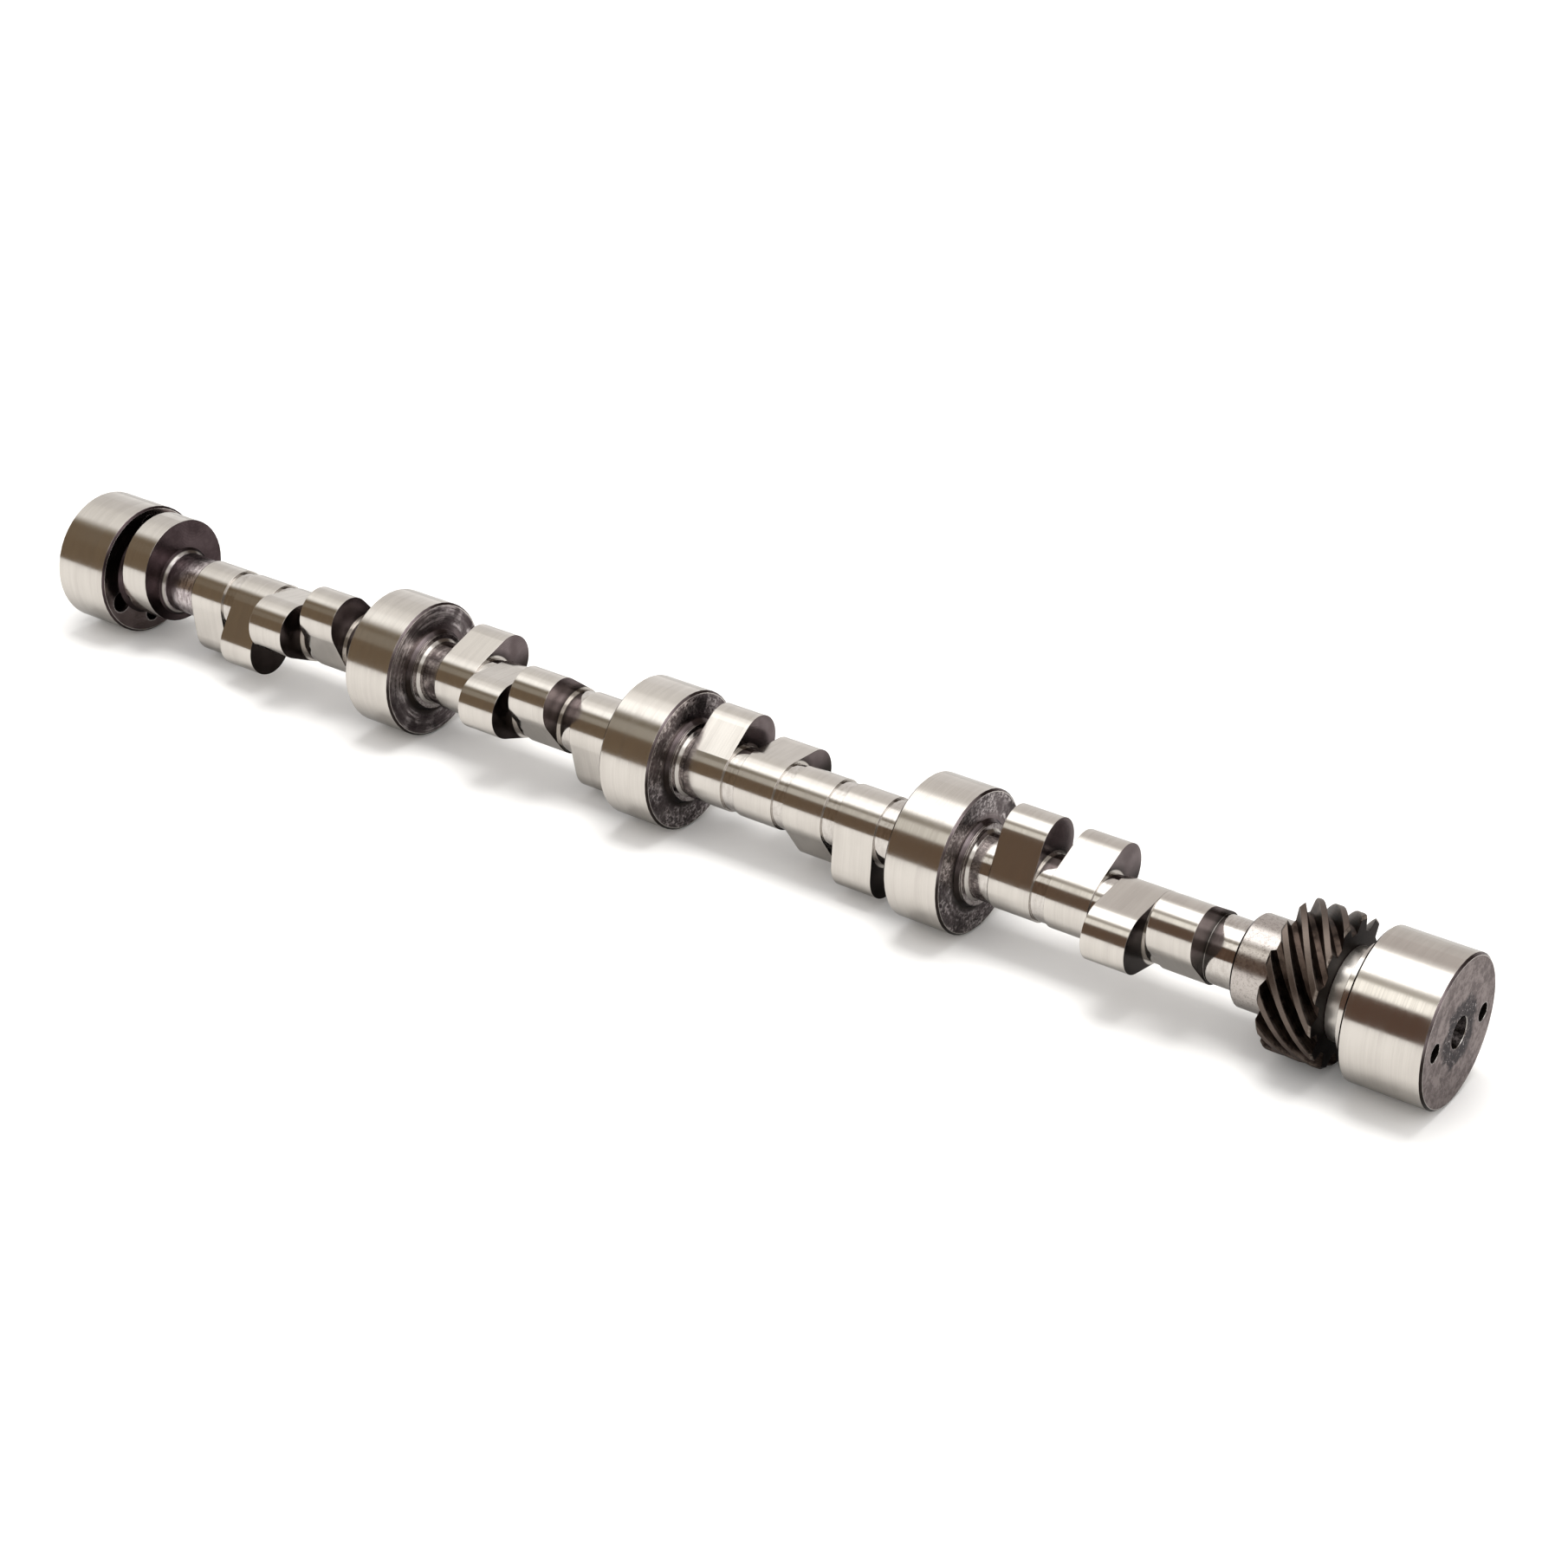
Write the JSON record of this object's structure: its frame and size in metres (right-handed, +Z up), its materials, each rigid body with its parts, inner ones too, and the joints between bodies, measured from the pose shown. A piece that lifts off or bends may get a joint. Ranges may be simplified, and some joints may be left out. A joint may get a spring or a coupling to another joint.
{
  "type": "camshaft",
  "caption": "Roller camshaft with round bearing journals, egg-shaped lobes, a fuel pump eccentric and a helical distributor drive gear, lying on its journals.",
  "frame": {"origin": "on the shaft axis, in the plane of the front journal's front face", "axes": "+X along the shaft from the sprocket end to the rear, +Z up as the shaft lies on its journals, +Y level across it"},
  "size_m": [0.5515, 0.0474, 0.0474],
  "materials": {
    "camshaft": "ground and polished journals and lobes, as-forged dark faces, dark oiled gear"
  },
  "bodies": {
    "root": {"camshaft": "camshaft"}
  },
  "joints": []
}
